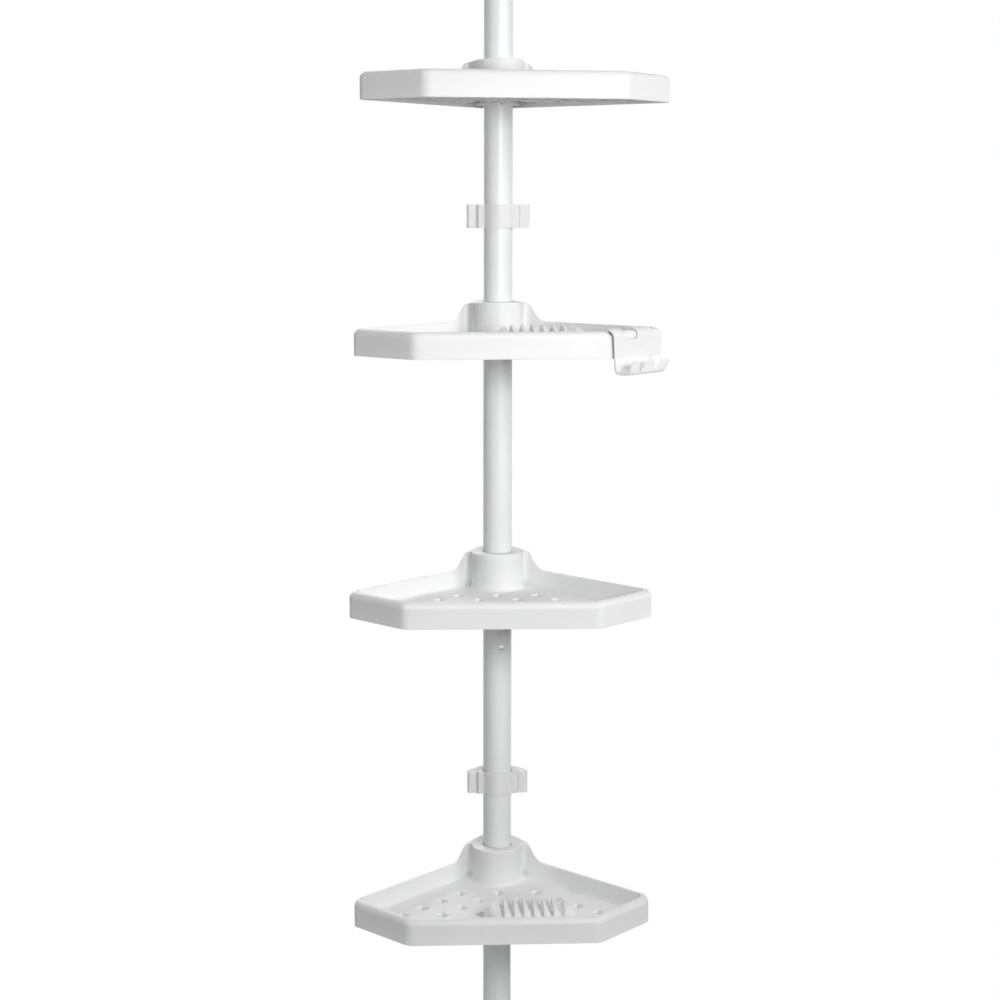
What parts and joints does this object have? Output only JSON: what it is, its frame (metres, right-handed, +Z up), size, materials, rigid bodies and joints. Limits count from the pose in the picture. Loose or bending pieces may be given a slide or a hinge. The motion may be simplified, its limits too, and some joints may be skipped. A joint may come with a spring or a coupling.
{
  "type": "tension pole shelf unit",
  "caption": "Corner shelf unit: drained trays, soap dishes, a hook rack and wall clips on a telescopic pole braced between floor and ceiling by a spring.",
  "frame": {"origin": "centre of the lower foot's underside, on the floor", "axes": "+Z up the pole, +Y into the corner of the room, -Y towards the user, +X to the user's right; the unit stands at its stored height, and the second shelf from the top is turned 5.5 degrees"},
  "size_m": [0.2658, 0.1862, 1.9052],
  "materials": {
    "white_plastic": "moulded, satin gloss",
    "tube_enamel": "smooth white enamel",
    "foot_rubber": "matt, pale grey",
    "plain_steel": "zinc plated",
    "nylon": "natural nylon"
  },
  "bodies": {
    "pole": {"foot_boot": "foot_rubber", "foot_disc": "plain_steel", "lower_tube": "tube_enamel", "coupler_tube": "plain_steel", "coupler_rivet": "plain_steel", "upper_tube": "tube_enamel", "mouth_ring": "white_plastic"},
    "adjuster": {"lock_plug": "nylon", "lock_cam": "nylon", "spring_rod": "plain_steel", "stop_washer": "plain_steel", "tension_spring": "plain_steel"},
    "top": {"slim_tube": "tube_enamel", "end_bush": "nylon", "ceiling_boot": "foot_rubber", "ceiling_disc": "plain_steel"},
    "sleeve_1": {"sleeve_1_right": "white_plastic", "sleeve_1_left": "white_plastic"},
    "shelf_1": {"shelf_1": "white_plastic"},
    "sleeve_2": {"sleeve_2_right": "white_plastic", "sleeve_2_left": "white_plastic"},
    "shelf_2": {"shelf_2": "white_plastic"},
    "sleeve_3": {"sleeve_3_right": "white_plastic", "sleeve_3_left": "white_plastic"},
    "shelf_3": {"shelf_3": "white_plastic"},
    "sleeve_4": {"sleeve_4_right": "white_plastic", "sleeve_4_left": "white_plastic"},
    "shelf_4": {"shelf_4": "white_plastic"},
    "clip_upper": {"clip_upper_wedge": "white_plastic"},
    "strap_upper": {"clip_upper_strap": "white_plastic"},
    "clip_lower": {"clip_lower_wedge": "white_plastic"},
    "strap_lower": {"clip_lower_strap": "white_plastic"},
    "soap_dish_upper": {"soap_dish_upper": "white_plastic"},
    "soap_dish_lower": {"soap_dish_lower": "white_plastic"},
    "hook_rack": {"hook_rack": "white_plastic"}
  },
  "joints": [
    {"name": "height_adjust", "type": "slide", "parent": "pole", "child": "adjuster", "axis": [0, 0, 1], "range_m": [-0.25, 0.15]},
    {"name": "tension_slide", "type": "slide", "parent": "adjuster", "child": "top", "axis": [0, 0, 1], "range_m": [-0.04, 0], "stiffness_N_per_m": 1000, "springref_m": 0.04, "deforming": ["tension_spring"]},
    {"name": "shelf_1_height", "type": "slide", "parent": "pole", "child": "sleeve_1", "axis": [0, 0, 1], "range_m": [-0.04, 0.205]},
    {"name": "shelf_1_swivel", "type": "hinge", "parent": "sleeve_1", "child": "shelf_1", "pos_m": [0, 0, 1.0795], "axis": [0, 0, 1], "continuous": true},
    {"name": "shelf_2_height", "type": "slide", "parent": "pole", "child": "sleeve_2", "axis": [0, 0, 1], "range_m": [-0.085, 0.03]},
    {"name": "shelf_2_swivel", "type": "hinge", "parent": "sleeve_2", "child": "shelf_2", "pos_m": [0, 0, 0.8735], "axis": [0, 0, 1], "continuous": true},
    {"name": "shelf_3_height", "type": "slide", "parent": "pole", "child": "sleeve_3", "axis": [0, 0, 1], "range_m": [-0.044, 0.085]},
    {"name": "shelf_3_swivel", "type": "hinge", "parent": "sleeve_3", "child": "shelf_3", "pos_m": [0, 0, 0.652], "axis": [0, 0, 1], "continuous": true},
    {"name": "shelf_4_height", "type": "slide", "parent": "pole", "child": "sleeve_4", "axis": [0, 0, 1], "range_m": [-0.34, 0.024]},
    {"name": "shelf_4_swivel", "type": "hinge", "parent": "sleeve_4", "child": "shelf_4", "pos_m": [0, 0, 0.38], "axis": [0, 0, 1], "continuous": true},
    {"name": "clip_upper_height", "type": "slide", "parent": "pole", "child": "clip_upper", "axis": [0, 0, 1], "range_m": [-0.03, 0.04]},
    {"name": "strap_upper_pull", "type": "slide", "parent": "clip_upper", "child": "strap_upper", "axis": [0.0523, -0.9986, 0], "range_m": [0, 0.02]},
    {"name": "clip_lower_height", "type": "slide", "parent": "pole", "child": "clip_lower", "axis": [0, 0, 1], "range_m": [-0.024, 0.08]},
    {"name": "strap_lower_pull", "type": "slide", "parent": "clip_lower", "child": "strap_lower", "axis": [0.0523, -0.9986, 0], "range_m": [0, 0.02]},
    {"name": "soap_dish_upper_lift", "type": "slide", "parent": "shelf_2", "child": "soap_dish_upper", "axis": [0, 0, 1], "range_m": [0, 0.06]},
    {"name": "soap_dish_lower_lift", "type": "slide", "parent": "shelf_4", "child": "soap_dish_lower", "axis": [0, 0, 1], "range_m": [0, 0.06]},
    {"name": "hook_rack_lift", "type": "slide", "parent": "shelf_2", "child": "hook_rack", "axis": [0, 0, 1], "range_m": [0, 0.03]}
  ]
}
